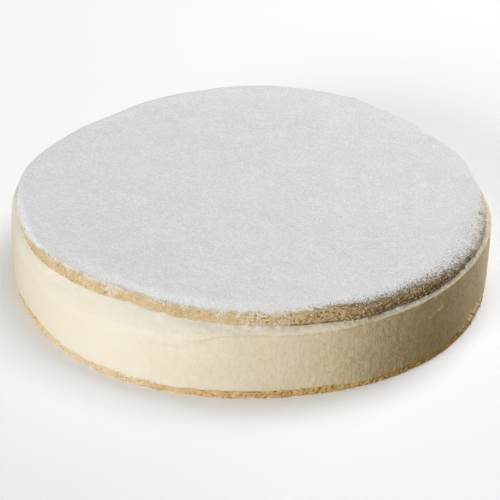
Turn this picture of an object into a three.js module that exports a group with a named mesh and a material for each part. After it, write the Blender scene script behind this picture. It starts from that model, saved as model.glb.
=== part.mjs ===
// A round ricotta and pear cake: a thin sponge base, a deep band of ricotta cream, a sponge disc set
// in from the cream's edge, and a thin coat of icing sugar over the disc.
// Millimetres, +Z up, origin at the middle of the underside. The front of the cake faces -Y.
import * as THREE from "three";

// Heights of the layers, from the underside up
const BASE_TOP = 5;
const CREAM_TOP = 41.8;
const DISC_TOP = 48.1;
const SUGAR_DEPTH = 0.8;

// Mean radii of the layers
const BASE_RADIUS = 134.55;
const CREAM_SHOULDER_RADIUS = 134.6;
const DISC_RADIUS = 130.65;

// The cake is a little out of round: each wave swings the outline by so many millimetres, so many times
// round the cake, with a crest at the peak angle in degrees from +X
const FOOT_WAVES = [
  { order: 2, swing: 0.42, peak: 46.6 },
  { order: 3, swing: 0.44, peak: -17.7 },
  { order: 4, swing: 0.53, peak: -42 },
  { order: 5, swing: 0.49, peak: 27.9 },
];
const SHOULDER_WAVES = [
  { order: 2, swing: 0.85, peak: -8 },
  { order: 3, swing: 0.4, peak: -42 },
  { order: 5, swing: 0.5, peak: 16 },
];
const DISC_WAVES = [
  { order: 1, swing: 1.55, peak: 35 },
  { order: 2, swing: 0.45, peak: -29 },
  { order: 3, swing: 2.55, peak: -43 },
  { order: 4, swing: 0.7, peak: 0 },
];

// Base sponge: a worn lower edge and a crumbly side
const BASE_FLAT_MARGIN = 3.4;
const BASE_EDGE_WEAR = 1.3;
const BASE_CRUMB = 0.3;
const BASE_ROWS = [0.25, 0.6, 1];

// Cream: it stands out past the base and laps down over its side, except at the front and where it is
// tucked in; its shoulder is crisp, with a ledge outside the disc, and wiped off to a slope on the left
const CREAM_OVERHANG = 0.85;
const CREAM_TUCKS = [
  { at: -24, width: 9, depth: 2.1 },
  { at: -152, width: 9, depth: 0.95 },
];
const LIP_CLEARANCE = 0.3;
const LIP_MEAN_DROP = 1.25;
const LIP_WAVES = [{ order: 5, swing: 0.4, peak: -58 }];
const LIP_WINDOWS = [{ at: -85, width: 13, depth: 1.2 }];
const LIP_TUCK_RISE = 4;
const LIP_LEAST_DROP = -0.15;
const LIP_LEAST_WIDTH = 0.4;
const LIP_TURN = 0.2;
const LIP_ROUND = 0.8;
const BELLY_HEIGHTS = [14, 22, 30];
const CREAM_BULGE = 0.35;
const SHOULDER_ROUND = 1.6;
const LEDGE_FALL = 2.4;
const LEDGE_TUCK = 1.2;
const WIPED_SIDE = { at: -139, half: 31, fade: 14 };
const SLOPE_TILT = 36;
const SLOPE_ROUND = 14;
const CREAM_DRAG = 0.18;

// Sponge disc: a rounded upper rim, crumbs torn out of the side, nicks in the edge
const RIM_ROUND = 4;
const RIM_STEPS = 4;
const DISC_UNDERCUT = 1;
const DISC_CRUMB = 0.5;
const RIM_LIFT = [{ order: 1, swing: 1, peak: 95 }];
const RIM_NICKS = [
  { at: 37, width: 4, depth: 1 },
  { at: 53, width: 3.5, depth: 1.7 },
  { at: 104, width: 4, depth: 1 },
  { at: 122, width: 3, depth: -1.4 },
  { at: 136, width: 6, depth: 1.1 },
  { at: 160, width: 4, depth: -1.4 },
  { at: -167, width: 6, depth: 1.4 },
  { at: -148, width: 9, depth: -1 },
  { at: -121, width: 6, depth: 1.6 },
  { at: -79, width: 8, depth: 0.8 },
  { at: -63, width: 6, depth: -1.4 },
  { at: -29, width: 5, depth: 0.8 },
];

// Icing sugar: flat on the disc, over the start of its rounded rim, with a ragged edge
const SUGAR_FLAT_MARGIN = 12;
const SUGAR_RIM_TURN = 0.72;
const SUGAR_TURN_WAVES = [{ order: 1, swing: 0.17, peak: -83 }];
const SUGAR_RAGGED = 0.08;
const SUGAR_EDGE_DEPTH = 0.35;
const SUGAR_RIM_DEPTH = 0.7;
const SUGAR_SWELL = 0.25;
const SUGAR_RINGS = 4;
const SKIN_GAP = 0.3;

// Fineness of the turned layers, and the seed of every random draw
const SEGMENTS = 180;
const SEED = 271;

const radians = THREE.MathUtils.degToRad;

// The sum of a list of waves at an angle.
function swingAt(waves, angle) {
  return waves.reduce((sum, wave) => sum + wave.swing * Math.cos(wave.order * (angle - radians(wave.peak))), 0);
}

// How deep a list of local nicks cuts at an angle: each is a bell curve round its own middle.
function nickAt(nicks, angle) {
  return nicks.reduce((sum, nick) => {
    const away = angle - radians(nick.at);
    const turn = Math.atan2(Math.sin(away), Math.cos(away));
    return sum + nick.depth * Math.exp(-((turn / radians(nick.width)) ** 2));
  }, 0);
}

// One row of random heights round the cake, between -1 and 1, that reads back at any segment.
function crumbRow(random) {
  return Array.from({ length: SEGMENTS }, () => random() * 2 - 1);
}

// A seeded source of numbers between 0 and 1, by stepping a remainder.
function seededRandom(seed) {
  const modulus = 2147483647;
  const multiplier = 48271;
  let state = seed;
  return () => {
    state = (state * multiplier) % modulus;
    return state / modulus;
  };
}

const random = seededRandom(SEED);
const baseCrumbs = [crumbRow(random), crumbRow(random), crumbRow(random)];
const discCrumbs = [crumbRow(random), crumbRow(random), crumbRow(random)];
const sugarCrumbs = crumbRow(random);
const creamDrags = [crumbRow(random), crumbRow(random), crumbRow(random)];

// Outline radii, as functions of the angle
const footWave = (angle) => swingAt(FOOT_WAVES, angle);
const shoulderRadius = (angle) => CREAM_SHOULDER_RADIUS + swingAt(SHOULDER_WAVES, angle);
const discReach = (angle) => DISC_RADIUS + swingAt(DISC_WAVES, angle) - nickAt(RIM_NICKS, angle);
const rimLift = (angle) => swingAt(RIM_LIFT, angle);

// How far the cream's lip comes down over the side of the base: not at all where the cream is tucked in.
function lipDrop(angle) {
  const drop = LIP_MEAN_DROP + swingAt(LIP_WAVES, angle) - nickAt(LIP_WINDOWS, angle);
  return Math.max(drop - LIP_TUCK_RISE * nickAt(CREAM_TUCKS, angle), LIP_LEAST_DROP);
}

// 1 on the left, where the cream was wiped off to a slope, and 0 where its shoulder is crisp.
function wipedShare(angle) {
  const away = angle - radians(WIPED_SIDE.at);
  const turn = Math.abs(THREE.MathUtils.radToDeg(Math.atan2(Math.sin(away), Math.cos(away))));
  return 1 - THREE.MathUtils.smoothstep(turn, WIPED_SIDE.half, WIPED_SIDE.half + WIPED_SIDE.fade);
}

// How far the wiped side has leaned in at a height: a round that tips it over, then a plain slope that
// meets the disc's edge at the top of the cream.
function leanAt(angle, height) {
  const tilt = radians(SLOPE_TILT);
  const roundIn = SLOPE_ROUND * (1 - Math.cos(tilt));
  const roundUp = SLOPE_ROUND * Math.sin(tilt);
  const slopeIn = shoulderRadius(angle) - discReach(angle) - roundIn;
  const climb = height - (CREAM_TOP - slopeIn / Math.tan(tilt) - roundUp);
  if (climb <= 0) {
    return 0;
  }
  if (climb < roundUp) {
    return SLOPE_ROUND - Math.sqrt(SLOPE_ROUND ** 2 - climb ** 2);
  }
  return roundIn + (climb - roundUp) * Math.tan(tilt);
}

// Turns a cross-section about the vertical axis. section(angle, segment) gives the [radius, height]
// points at one angle, from the axis underneath to the axis on top.
function turned(section) {
  const first = section(0, 0);
  const geometry = new THREE.LatheGeometry(first.map(([r, z]) => new THREE.Vector2(r, z)), SEGMENTS);
  const position = geometry.getAttribute("position");
  for (let column = 0; column <= SEGMENTS; column++) {
    const segment = column % SEGMENTS;
    const angle = (segment / SEGMENTS) * 2 * Math.PI;
    section(angle, segment).forEach(([r, z], row) => {
      position.setXYZ(column * first.length + row, r * Math.cos(angle), r * Math.sin(angle), z);
    });
  }
  geometry.computeVertexNormals();
  return geometry;
}

// Base sponge: flat underneath and on top, worn round its lower edge.
function baseSection(angle, segment) {
  const edge = BASE_RADIUS + footWave(angle);
  const side = BASE_ROWS.map((share, row) => {
    return [edge - BASE_CRUMB + baseCrumbs[row][segment] * BASE_CRUMB, BASE_TOP * share];
  });
  return [
    [0, 0],
    [edge - BASE_FLAT_MARGIN, 0],
    [edge - BASE_EDGE_WEAR, 0],
    ...side,
    [0, BASE_TOP],
  ];
}

// Ricotta cream: stands on the base, laps down over its side, and rounds over into a ledge or leans in.
function creamSection(angle, segment) {
  const edge = BASE_RADIUS + footWave(angle);
  const foot = edge + CREAM_OVERHANG - nickAt(CREAM_TUCKS, angle);
  const inside = Math.min(edge + LIP_CLEARANCE, foot - LIP_LEAST_WIDTH);
  const lip = BASE_TOP - lipDrop(angle);
  const shoulder = shoulderRadius(angle);
  const ledge = CREAM_TOP - LEDGE_FALL;
  const wiped = wipedShare(angle);
  const crisp = 1 - wiped;
  const belly = BELLY_HEIGHTS.map((height, row) => {
    const share = (height - BASE_TOP) / (ledge - BASE_TOP);
    const wall = foot + (shoulder - foot) * share + CREAM_BULGE * Math.sin(Math.PI * share);
    return [wall + creamDrags[row][segment] * CREAM_DRAG, height];
  });
  const slant = SHOULDER_ROUND * (1 - Math.SQRT1_2);
  const upright = [
    ...belly,
    [shoulder, ledge - SHOULDER_ROUND],
    [shoulder - slant * crisp, ledge - slant],
    [shoulder - SHOULDER_ROUND * crisp, ledge],
  ];
  return [
    [0, BASE_TOP],
    [inside, BASE_TOP],
    [inside, lip],
    [foot - LIP_TURN, lip],
    [foot, lip + LIP_ROUND],
    ...upright.map(([radius, height]) => [radius - wiped * leanAt(angle, height), height]),
    [Math.min(discReach(angle), shoulder - SHOULDER_ROUND) - LEDGE_TUCK, CREAM_TOP],
    [0, CREAM_TOP],
  ];
}

// The rounded rim of the sponge disc: a quarter arc that starts at turn 0 on the side, ends at turn 1
// on top, and stands off by a clearance.
function rimPoint(angle, turn, clearance) {
  const centre = discReach(angle) - RIM_ROUND;
  const round = RIM_ROUND + clearance;
  const swept = (turn * Math.PI) / 2;
  const lift = rimLift(angle) * turn;
  return [centre + round * Math.cos(swept), DISC_TOP - RIM_ROUND + round * Math.sin(swept) + lift];
}

// Sponge disc: flat underneath, torn crumb on its side, a rounded rim and a flat top.
function discSection(angle, segment) {
  const side = discReach(angle);
  const [low, middle, high] = discCrumbs.map((row) => row[segment] * DISC_CRUMB);
  const rim = [];
  for (let step = 1; step <= RIM_STEPS; step++) {
    const turn = step / RIM_STEPS;
    const [r, z] = rimPoint(angle, turn, 0);
    rim.push([r + high * (1 - turn) ** 2, z]);
  }
  return [
    [0, CREAM_TOP],
    [side - DISC_UNDERCUT + low, CREAM_TOP],
    [side + low, CREAM_TOP + DISC_UNDERCUT],
    [side + middle, DISC_TOP - RIM_ROUND],
    ...rim,
    [DISC_RADIUS - SUGAR_FLAT_MARGIN, DISC_TOP],
    [0, DISC_TOP],
  ];
}

// Icing sugar: lies flat on the disc, then stands just off its rounded rim down to a ragged edge.
function sugarSection(angle, segment) {
  const flat = DISC_RADIUS - SUGAR_FLAT_MARGIN;
  const edge = SUGAR_RIM_TURN + swingAt(SUGAR_TURN_WAVES, angle) + sugarCrumbs[segment] * SUGAR_RAGGED;
  const top = DISC_TOP + SUGAR_DEPTH;
  const rings = [];
  for (let ring = SUGAR_RINGS - 1; ring > 0; ring--) {
    const swell = SUGAR_SWELL * Math.cos(ring * 2 + angle * (ring + 1));
    rings.push([(flat * ring) / SUGAR_RINGS, top + swell]);
  }
  return [
    [0, DISC_TOP],
    [flat, DISC_TOP],
    rimPoint(angle, 1, SKIN_GAP),
    rimPoint(angle, (1 + edge) / 2, SKIN_GAP),
    rimPoint(angle, edge, SKIN_GAP),
    rimPoint(angle, edge, SKIN_GAP + SUGAR_EDGE_DEPTH),
    rimPoint(angle, 1, SKIN_GAP + SUGAR_RIM_DEPTH),
    [flat, top + SUGAR_SWELL * Math.cos(angle * (SUGAR_RINGS + 1))],
    ...rings,
    [0, top],
  ];
}

// One named layer of the cake.
function layer(name, section, colour, roughness) {
  const material = new THREE.MeshStandardMaterial({ color: colour, roughness, metalness: 0 });
  const mesh = new THREE.Mesh(turned(section), material);
  mesh.name = name;
  return mesh;
}

const cake = new THREE.Group();
cake.add(layer("base_sponge", baseSection, 0xd2a968, 0.9));
cake.add(layer("ricotta_cream", creamSection, 0xe9dec4, 0.5));
cake.add(layer("top_sponge", discSection, 0xcba574, 0.9));
cake.add(layer("sugar_coat", sugarSection, 0xe6e6e6, 0.95));

export default cake;
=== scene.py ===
"""A ricotta and pear cake, dressed for a studio picture.

A thin sponge base, a deep band of ricotta cream, a sponge disc set in from the cream's edge and a coat
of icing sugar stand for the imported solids, and loose sugar and crumbs lie on them. Lengths are in
metres. Sizes give angles in degrees from +X, arrays of angles are in radians, and the front of the
cake faces -Y.
"""

import itertools
import logging
import math
from dataclasses import dataclass
from enum import Enum
from typing import Any

import bpy
import numpy as np
from mathutils import Matrix, Vector


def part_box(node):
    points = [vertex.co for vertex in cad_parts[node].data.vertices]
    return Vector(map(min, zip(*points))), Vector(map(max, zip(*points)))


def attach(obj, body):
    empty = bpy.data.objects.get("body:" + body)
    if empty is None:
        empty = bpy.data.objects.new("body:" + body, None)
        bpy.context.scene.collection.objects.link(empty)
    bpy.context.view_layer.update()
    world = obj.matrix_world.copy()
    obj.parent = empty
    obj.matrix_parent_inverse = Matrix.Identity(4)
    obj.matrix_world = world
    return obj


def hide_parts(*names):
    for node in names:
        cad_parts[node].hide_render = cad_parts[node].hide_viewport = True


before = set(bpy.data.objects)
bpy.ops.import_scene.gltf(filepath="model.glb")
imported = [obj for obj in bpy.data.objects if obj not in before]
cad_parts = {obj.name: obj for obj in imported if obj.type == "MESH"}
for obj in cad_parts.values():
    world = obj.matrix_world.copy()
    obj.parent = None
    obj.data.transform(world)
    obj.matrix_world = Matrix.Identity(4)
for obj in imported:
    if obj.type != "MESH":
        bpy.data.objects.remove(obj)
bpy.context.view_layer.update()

MM = 0.001
COLUMNS = 1440
FULL_TURN = 2.0 * math.pi
GIRTH = FULL_TURN * 0.134
FAR_INSIDE = 1.0
LOG = logging.getLogger("ricotta_cake")
Array = np.ndarray
Colour = tuple[float, float, float, float]
Picked = tuple[Array, Array]


class Mark(Enum):
    """Values that a surface carries from its relief to its finish."""

    DUST = "dust"
    # Pores and painted shade: the sponges' pores, crevice and shaded right, the sugar's edge at the right,
    # and the cream's front and right.
    PORE_AND_SHADE = "pore_and_shade"
    SHED = "shed"
    GRIT = "grit"
    WARM = "warm"
    AROUND = "around"
    INWARD = "inward"


def ease(value: Array, start: Any, end: Any) -> Array:
    """Climbs from 0 at start to 1 at end along 3t^2 - 2t^3, and stays flat outside."""
    t = np.clip((value - start) / (end - start), 0.0, 1.0)
    return t * t * (3.0 - 2.0 * t)


def turn_from(angle: Array, middle: float) -> Array:
    """Signed turn in degrees from a middle angle in degrees, between -180 and 180."""
    away = angle - math.radians(middle)
    return np.degrees(np.arctan2(np.sin(away), np.cos(away)))


def columns() -> Array:
    """Angles of the columns round the cake, in radians."""
    return np.arange(COLUMNS) * (FULL_TURN / COLUMNS)


@dataclass(frozen=True)
class Wave:
    """A swing of an outline: so many crests round the cake, so high, with one at the peak angle."""

    order: int
    swing: float
    peak: float

    def at(self, angle: Array) -> Array:
        """The swing times the cosine of order times the turn from the peak."""
        return self.swing * np.cos(self.order * (angle - math.radians(self.peak)))


@dataclass(frozen=True)
class Nick:
    """A bell-shaped bite in an outline or rise of a value, so many degrees wide and so deep."""

    middle: float
    width: float
    depth: float

    def at(self, angle: Array) -> Array:
        """The depth times exp(-(turn / width)^2)."""
        return self.depth * np.exp(-((turn_from(angle, self.middle) / self.width) ** 2))


@dataclass(frozen=True)
class Stretch:
    """A stretch of the side: whole within so many degrees of its middle, and gone from so many on."""

    middle: float
    whole: float
    gone: float

    def at(self, angle: Array) -> Array:
        """1 along the stretch and 0 away from it, eased between."""
        return 1.0 - ease(np.abs(turn_from(angle, self.middle)), self.whole, self.gone)


@dataclass(frozen=True)
class Onset:
    """A change that sets in between two turns, in degrees, from a middle angle."""

    middle: float
    start: float
    end: float

    def at(self, angle: Array) -> Array:
        """0 before the first turn and 1 after the second, eased between."""
        return ease(turn_from(angle, self.middle), self.start, self.end)


def summed(parts: tuple[Any, ...], angle: Array) -> Array:
    """Adds up waves or nicks at each angle."""
    return sum(part.at(angle) for part in parts)


class Grain:
    """Seeded noise on a square lattice, read at whole arrays of places."""

    SIDE = 1024
    PIT_PLACES = (0.2, 0.8)
    PIT_RADII = (0.22, 0.5)

    def __init__(self, seed: int) -> None:
        """Draws the lattice values, and the place, size and chance of one pit for each cell.

        Args:
            seed: Start of the random numbers.
        """
        draw = np.random.default_rng(seed)
        shape = (self.SIDE, self.SIDE)
        self._heights = draw.uniform(-1.0, 1.0, shape)
        self._across = draw.uniform(*self.PIT_PLACES, shape)
        self._along = draw.uniform(*self.PIT_PLACES, shape)
        self._radii = draw.uniform(*self.PIT_RADII, shape)
        self._chance = draw.uniform(0.0, 1.0, shape)

    def cells_round(self, cell: float) -> int:
        """How many cells of a width in metres go round the cake."""
        return min(self.SIDE, round(GIRTH / cell))

    def smooth(self, across: Array, along: Array, wrap: int = SIDE) -> Array:
        """Blends the four lattice values round each place, with the curve 3t^2 - 2t^3 each way.

        Args:
            across: Place across the lattice, in cells, which repeats after wrap cells.
            along: Place along the lattice, in cells.
            wrap: How many cells there are before the pattern repeats.

        Returns:
            Noise between -1 and 1.
        """
        column = np.floor(across).astype(int)
        row = np.floor(along).astype(int)
        t = ease(across - column, 0.0, 1.0)
        s = ease(along - row, 0.0, 1.0)
        left, right = column % wrap, (column + 1) % wrap
        low, high = row % self.SIDE, (row + 1) % self.SIDE
        lower = self._heights[low, left] * (1.0 - t) + self._heights[low, right] * t
        upper = self._heights[high, left] * (1.0 - t) + self._heights[high, right] * t
        return lower * (1.0 - s) + upper * s

    def pits(self, across: Array, along: Array, share: float, wrap: int) -> Array:
        """Round hollows: 1 - (distance / radius)^2 from the nearest pit's middle, and 0 outside.

        Args:
            across: Place across the lattice, in cells.
            along: Place along the lattice, in cells.
            share: Share of the cells that hold a pit.
            wrap: How many cells there are before the pattern repeats.

        Returns:
            Hollow depth between 0 and 1.
        """
        column = np.floor(across).astype(int)
        row = np.floor(along).astype(int)
        deepest = np.zeros_like(across)
        for step_row, step_column in itertools.product((-1, 0, 1), repeat=2):
            cell = ((row + step_row) % self.SIDE, (column + step_column) % wrap)
            gap_across = across - column - step_column - self._across[cell]
            gap_along = along - row - step_row - self._along[cell]
            hollow = 1.0 - (gap_across**2 + gap_along**2) / self._radii[cell] ** 2
            deepest = np.maximum(deepest, np.where(self._chance[cell] < share, hollow, 0.0))
        return deepest


@dataclass(frozen=True)
class Rough:
    """One layer of smooth noise: its height, the width and height of its cells, and its shift."""

    height: float
    wide: float
    tall: float
    shift: float = 0.0

    def at(self, grain: Grain, angle: Array, along: Array) -> Array:
        """The height times the noise on the band round the cake, shifted along it in metres.

        Args:
            grain: Source of the noise.
            angle: Angles round the cake, in radians.
            along: Way along the section, in metres.

        Returns:
            The layer's height at each place.
        """
        around = grain.cells_round(self.wide)
        across = angle / FULL_TURN * around
        return self.height * grain.smooth(across, (along + self.shift) / self.tall, around)

    def on_flat(self, grain: Grain, x: Array, y: Array) -> Array:
        """The height times the noise on the level, shifted both ways by a number of cells."""
        return self.height * grain.smooth(x / self.wide + self.shift, y / self.tall + self.shift)


@dataclass(frozen=True)
class Pits:
    """One layer of round hollows: the size of their cells, the share of these with one, and a shift."""

    cell: float
    share: float
    shift: float = 0.0

    def at(self, grain: Grain, angle: Array, along: Array) -> Array:
        """Depth of the hollows, from 0 to 1, on the band round the cake."""
        around = grain.cells_round(self.cell)
        return grain.pits(angle / FULL_TURN * around, (along + self.shift) / self.cell, self.share, around)


def layered(layers: tuple[Rough, ...], grain: Grain, angle: Array, along: Array) -> Array:
    """Adds up layers of noise on the band round the cake."""
    return sum(layer.at(grain, angle, along) for layer in layers)


@dataclass(frozen=True)
class CakeForm:
    """Heights and outlines that the layers share."""

    base_top: float
    cream_top: float
    disc_top: float
    base_radius: float = 134.55 * MM
    overhang: float = 0.85 * MM
    shoulder_radius: float = 134.6 * MM
    disc_radius: float = 130.65 * MM
    rim_round: float = 4.0 * MM
    rim_tilt: Wave = Wave(1, 1.0 * MM, 95.0)
    tilt_margin: float = 12.0 * MM
    back_lift: Nick = Nick(62.0, 45.0, 1.2 * MM)
    back_margin: float = 40.0 * MM
    lip_mean_drop: float = 1.25 * MM
    lip_least_drop: float = 0.3 * MM
    lip_tuck_rise: float = 4.0
    lip_wave: Wave = Wave(5, 0.4 * MM, -58.0)
    lip_window: Nick = Nick(-85.0, 13.0, 1.2 * MM)
    cream_tucks: tuple[Nick, ...] = (Nick(-24.0, 9.0, 2.1 * MM), Nick(-152.0, 9.0, 0.95 * MM))
    wiped: Stretch = Stretch(-139.0, 31.0, 45.0)
    shoulder_dent: Nick = Nick(13.0, 12.0, 2.0 * MM)
    foot_waves: tuple[Wave, ...] = (
        Wave(2, 0.42 * MM, 46.6),
        Wave(3, 0.44 * MM, -17.7),
        Wave(4, 0.53 * MM, -42.0),
        Wave(5, 0.49 * MM, 27.9),
    )
    shoulder_waves: tuple[Wave, ...] = (
        Wave(2, 0.85 * MM, -8.0),
        Wave(3, 0.4 * MM, -42.0),
        Wave(5, 0.5 * MM, 16.0),
    )
    disc_waves: tuple[Wave, ...] = (
        Wave(1, 1.55 * MM, 35.0),
        Wave(2, 0.45 * MM, -29.0),
        Wave(3, 2.55 * MM, -43.0),
        Wave(4, 0.7 * MM, 0.0),
    )
    rim_nicks: tuple[Nick, ...] = (
        Nick(20.0, 8.0, -2.0 * MM),
        Nick(35.5, 1.2, 3.4 * MM),
        Nick(53.0, 3.5, 1.2 * MM),
        Nick(62.5, 2.0, -1.8 * MM),
        Nick(104.0, 4.0, 1.0 * MM),
        Nick(133.0, 8.0, 1.6 * MM),
        Nick(168.0, 11.0, -2.0 * MM),
        Nick(-167.0, 6.0, 1.4 * MM),
        Nick(-148.0, 9.0, -1.0 * MM),
        Nick(-121.0, 6.0, 1.6 * MM),
        Nick(-79.0, 8.0, 0.8 * MM),
        Nick(-63.0, 6.0, -1.4 * MM),
        Nick(-29.0, 5.0, 0.8 * MM),
    )

    @classmethod
    def from_frame(cls) -> "CakeForm":
        """Reads the layers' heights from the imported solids.

        Returns:
            The form, with the disc's top as it is halfway between the low and the high side of its tilt.
        """
        base_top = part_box("base_sponge")[1].z
        disc_low, disc_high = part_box("top_sponge")
        return cls(base_top=base_top, cream_top=disc_low.z, disc_top=disc_high.z - cls.rim_tilt.swing)

    def base_edge(self, angle: Array) -> Array:
        """Radius of the base at the floor."""
        return self.base_radius + summed(self.foot_waves, angle)

    def cream_foot(self, angle: Array) -> Array:
        """Radius of the cream's foot, which stands out past the base except where it is tucked in."""
        return self.base_edge(angle) + self.overhang - summed(self.cream_tucks, angle)

    def shoulder(self, angle: Array) -> Array:
        """Radius of the cream's shoulder."""
        return self.shoulder_radius + summed(self.shoulder_waves, angle) - self.shoulder_dent.at(angle)

    def disc_outline(self, angle: Array) -> Array:
        """Radius of the sponge disc without its nicks."""
        return self.disc_radius + summed(self.disc_waves, angle)

    def disc_reach(self, angle: Array) -> Array:
        """Radius of the sponge disc, nicks included."""
        return self.disc_outline(angle) - summed(self.rim_nicks, angle)

    def lip_drop(self, angle: Array) -> Array:
        """How far the cream's lip comes down over the base's side: not at all where it is tucked in."""
        drop = self.lip_mean_drop + self.lip_wave.at(angle) - self.lip_window.at(angle)
        return drop - self.lip_tuck_rise * summed(self.cream_tucks, angle)

    def rim_point(self, angle: Array, turn: Array, clearance: Array) -> tuple[Array, Array]:
        """Radius and height on the disc's rounded rim, a quarter arc that stands off by a clearance.

        Args:
            angle: Angles round the cake, in radians.
            turn: 0 where the arc leaves the side, 1 where it meets the top.
            clearance: Distance off the sponge.

        Returns:
            Radius and height of each point.
        """
        centre = self.disc_reach(angle) - self.rim_round
        swept = turn * (math.pi / 2.0)
        reach = self.rim_round + clearance
        lift = (self.rim_tilt.at(angle) + self.back_lift.at(angle)) * turn
        height = self.disc_top - self.rim_round + reach * np.sin(swept) + lift
        return centre + reach * np.cos(swept), height


def make_piece(
    name: str, points: Array, faces: tuple[Array, ...], marks: dict[Mark, Array],
) -> bpy.types.Object:
    """Puts points, faces and marks into a smooth mesh object at the origin.

    Args:
        name: Name of the object and its mesh.
        points: Vertex places, one row each.
        faces: Arrays of vertex numbers, one row for each face, each array with its own face size.
        marks: One value for each vertex, by mark.

    Returns:
        The new object, linked to the scene.
    """
    mesh = bpy.data.meshes.new(name)
    mesh.vertices.add(len(points))
    mesh.vertices.foreach_set("co", points.astype(np.float32).ravel())
    corners = np.concatenate([block.ravel() for block in faces])
    sizes = np.concatenate([np.full(len(block), block.shape[1]) for block in faces])
    mesh.loops.add(len(corners))
    mesh.loops.foreach_set("vertex_index", corners.astype(np.int32))
    mesh.polygons.add(len(sizes))
    mesh.polygons.foreach_set("loop_start", (np.cumsum(sizes) - sizes).astype(np.int32))
    mesh.update(calc_edges=True)
    mesh.shade_smooth()
    for mark, values in marks.items():
        layer = mesh.attributes.new(mark.value, "FLOAT", "POINT")
        layer.data.foreach_set("value", values.astype(np.float32).ravel())
    piece = bpy.data.objects.new(name, mesh)
    bpy.context.scene.collection.objects.link(piece)
    return piece


def ring_quads(rings: Array, rising: bool) -> Array:
    """Joins each ring of vertex numbers to the next with quads that face outward.

    Args:
        rings: Vertex numbers, one row for each ring, anticlockwise as seen from above.
        rising: Whether the rings are listed upward.

    Returns:
        The quads, one row each.
    """
    following = np.roll(rings, -1, axis=1)
    corners = [rings[:-1], following[:-1], following[1:], rings[1:]]
    if not rising:
        corners = [rings[:-1], rings[1:], following[1:], following[:-1]]
    return np.stack(corners, axis=-1).reshape(-1, 4)


def ring_fan(ring: Array, pole: int, upward: bool) -> Array:
    """Closes a ring of vertex numbers with triangles to a pole.

    Args:
        ring: Vertex numbers, anticlockwise as seen from above.
        pole: Vertex number of the pole.
        upward: Whether the triangles face up.

    Returns:
        The triangles, one row each.
    """
    following = np.roll(ring, -1)
    pair = (ring, following) if upward else (following, ring)
    return np.stack([np.full(len(ring), pole), *pair], axis=-1)


@dataclass(frozen=True)
class Rows:
    """A turned section: the columns' angles, and rows of radius, height and way along the section."""

    angle: Array
    radius: Array
    height: Array
    along: Array

    @property
    def around(self) -> Array:
        """The angle of every point."""
        return np.broadcast_to(self.angle, self.radius.shape)


@dataclass
class Skin:
    """A closed turned surface: rings of points from a pole underneath to a pole on top."""

    rings: Array
    low_pole: float
    high_pole: float
    marks: dict[Mark, Array]

    @classmethod
    def turned(cls, rows: Rows, low_pole: float, high_pole: float) -> "Skin":
        """Sweeps rows round the axis, between poles at two heights, with no marks yet."""
        level = (rows.radius * np.cos(rows.angle), rows.radius * np.sin(rows.angle))
        return cls(np.stack([*level, rows.height], axis=-1), low_pole, high_pole, {})

    def normals(self) -> Array:
        """Unit normals from the cross product of the steps round and up the skin.

        Returns:
            One normal for each point of the rings.
        """
        around = np.roll(self.rings, -1, axis=1) - np.roll(self.rings, 1, axis=1)
        upward = np.gradient(self.rings, axis=0)
        normal = np.cross(around, upward)
        return normal / np.maximum(np.linalg.norm(normal, axis=-1, keepdims=True), 1e-12)

    def push(self, relief: Array) -> None:
        """Moves each point out along its normal by the relief there."""
        self.rings = self.rings + self.normals() * relief[..., None]

    def between(self, first: int, last: int) -> Array:
        """1 on the rings from the first up to, but not with, the last, and 0 on the others."""
        ring = np.arange(len(self.rings))[:, None] + np.zeros(self.rings.shape[1])
        return np.where((ring >= first) & (ring < last), 1.0, 0.0)

    def to_piece(self, name: str) -> bpy.types.Object:
        """Closes the rings with a fan at each pole and makes the object.

        Args:
            name: Name of the new object.

        Returns:
            The object.
        """
        count = self.rings.shape[0] * self.rings.shape[1]
        number = np.arange(count).reshape(self.rings.shape[:2])
        floor_fan = ring_fan(number[0], count, False)
        lid_fan = ring_fan(number[-1], count + 1, True)
        poles = np.array([[0.0, 0.0, self.low_pole], [0.0, 0.0, self.high_pole]])
        points = np.concatenate([self.rings.reshape(-1, 3), poles])
        marks = {mark: np.append(values.ravel(), [0.0, 0.0]) for mark, values in self.marks.items()}
        return make_piece(name, points, (ring_quads(number, True), floor_fan, lid_fan), marks)


class Link:
    """A shader socket that takes part in Python arithmetic."""

    def __init__(self, recipe: "Recipe", socket: bpy.types.NodeSocket) -> None:
        """Keeps the socket and the recipe that its tree belongs to."""
        self.recipe = recipe
        self.socket = socket

    def _math(self, operation: str, *terms: Any) -> "Link":
        """Adds one Math node on these terms."""
        return self.recipe.node("ShaderNodeMath", {"operation": operation}, dict(enumerate(terms)))

    def __add__(self, other: Any) -> "Link":
        """self + other."""
        return self._math("ADD", self, other)

    def __radd__(self, other: Any) -> "Link":
        """other + self."""
        return self._math("ADD", other, self)

    def __sub__(self, other: Any) -> "Link":
        """self - other."""
        return self._math("SUBTRACT", self, other)

    def __rsub__(self, other: Any) -> "Link":
        """other - self."""
        return self._math("SUBTRACT", other, self)

    def __mul__(self, other: Any) -> "Link":
        """self * other."""
        return self._math("MULTIPLY", self, other)

    def __rmul__(self, other: Any) -> "Link":
        """other * self."""
        return self._math("MULTIPLY", other, self)

    def climb(self, start: float, end: float) -> "Link":
        """A smooth climb from 0 at start to 1 at end."""
        settings = {"interpolation_type": "SMOOTHSTEP"}
        return self.recipe.node("ShaderNodeMapRange", settings, {0: self, 1: start, 2: end})


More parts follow.
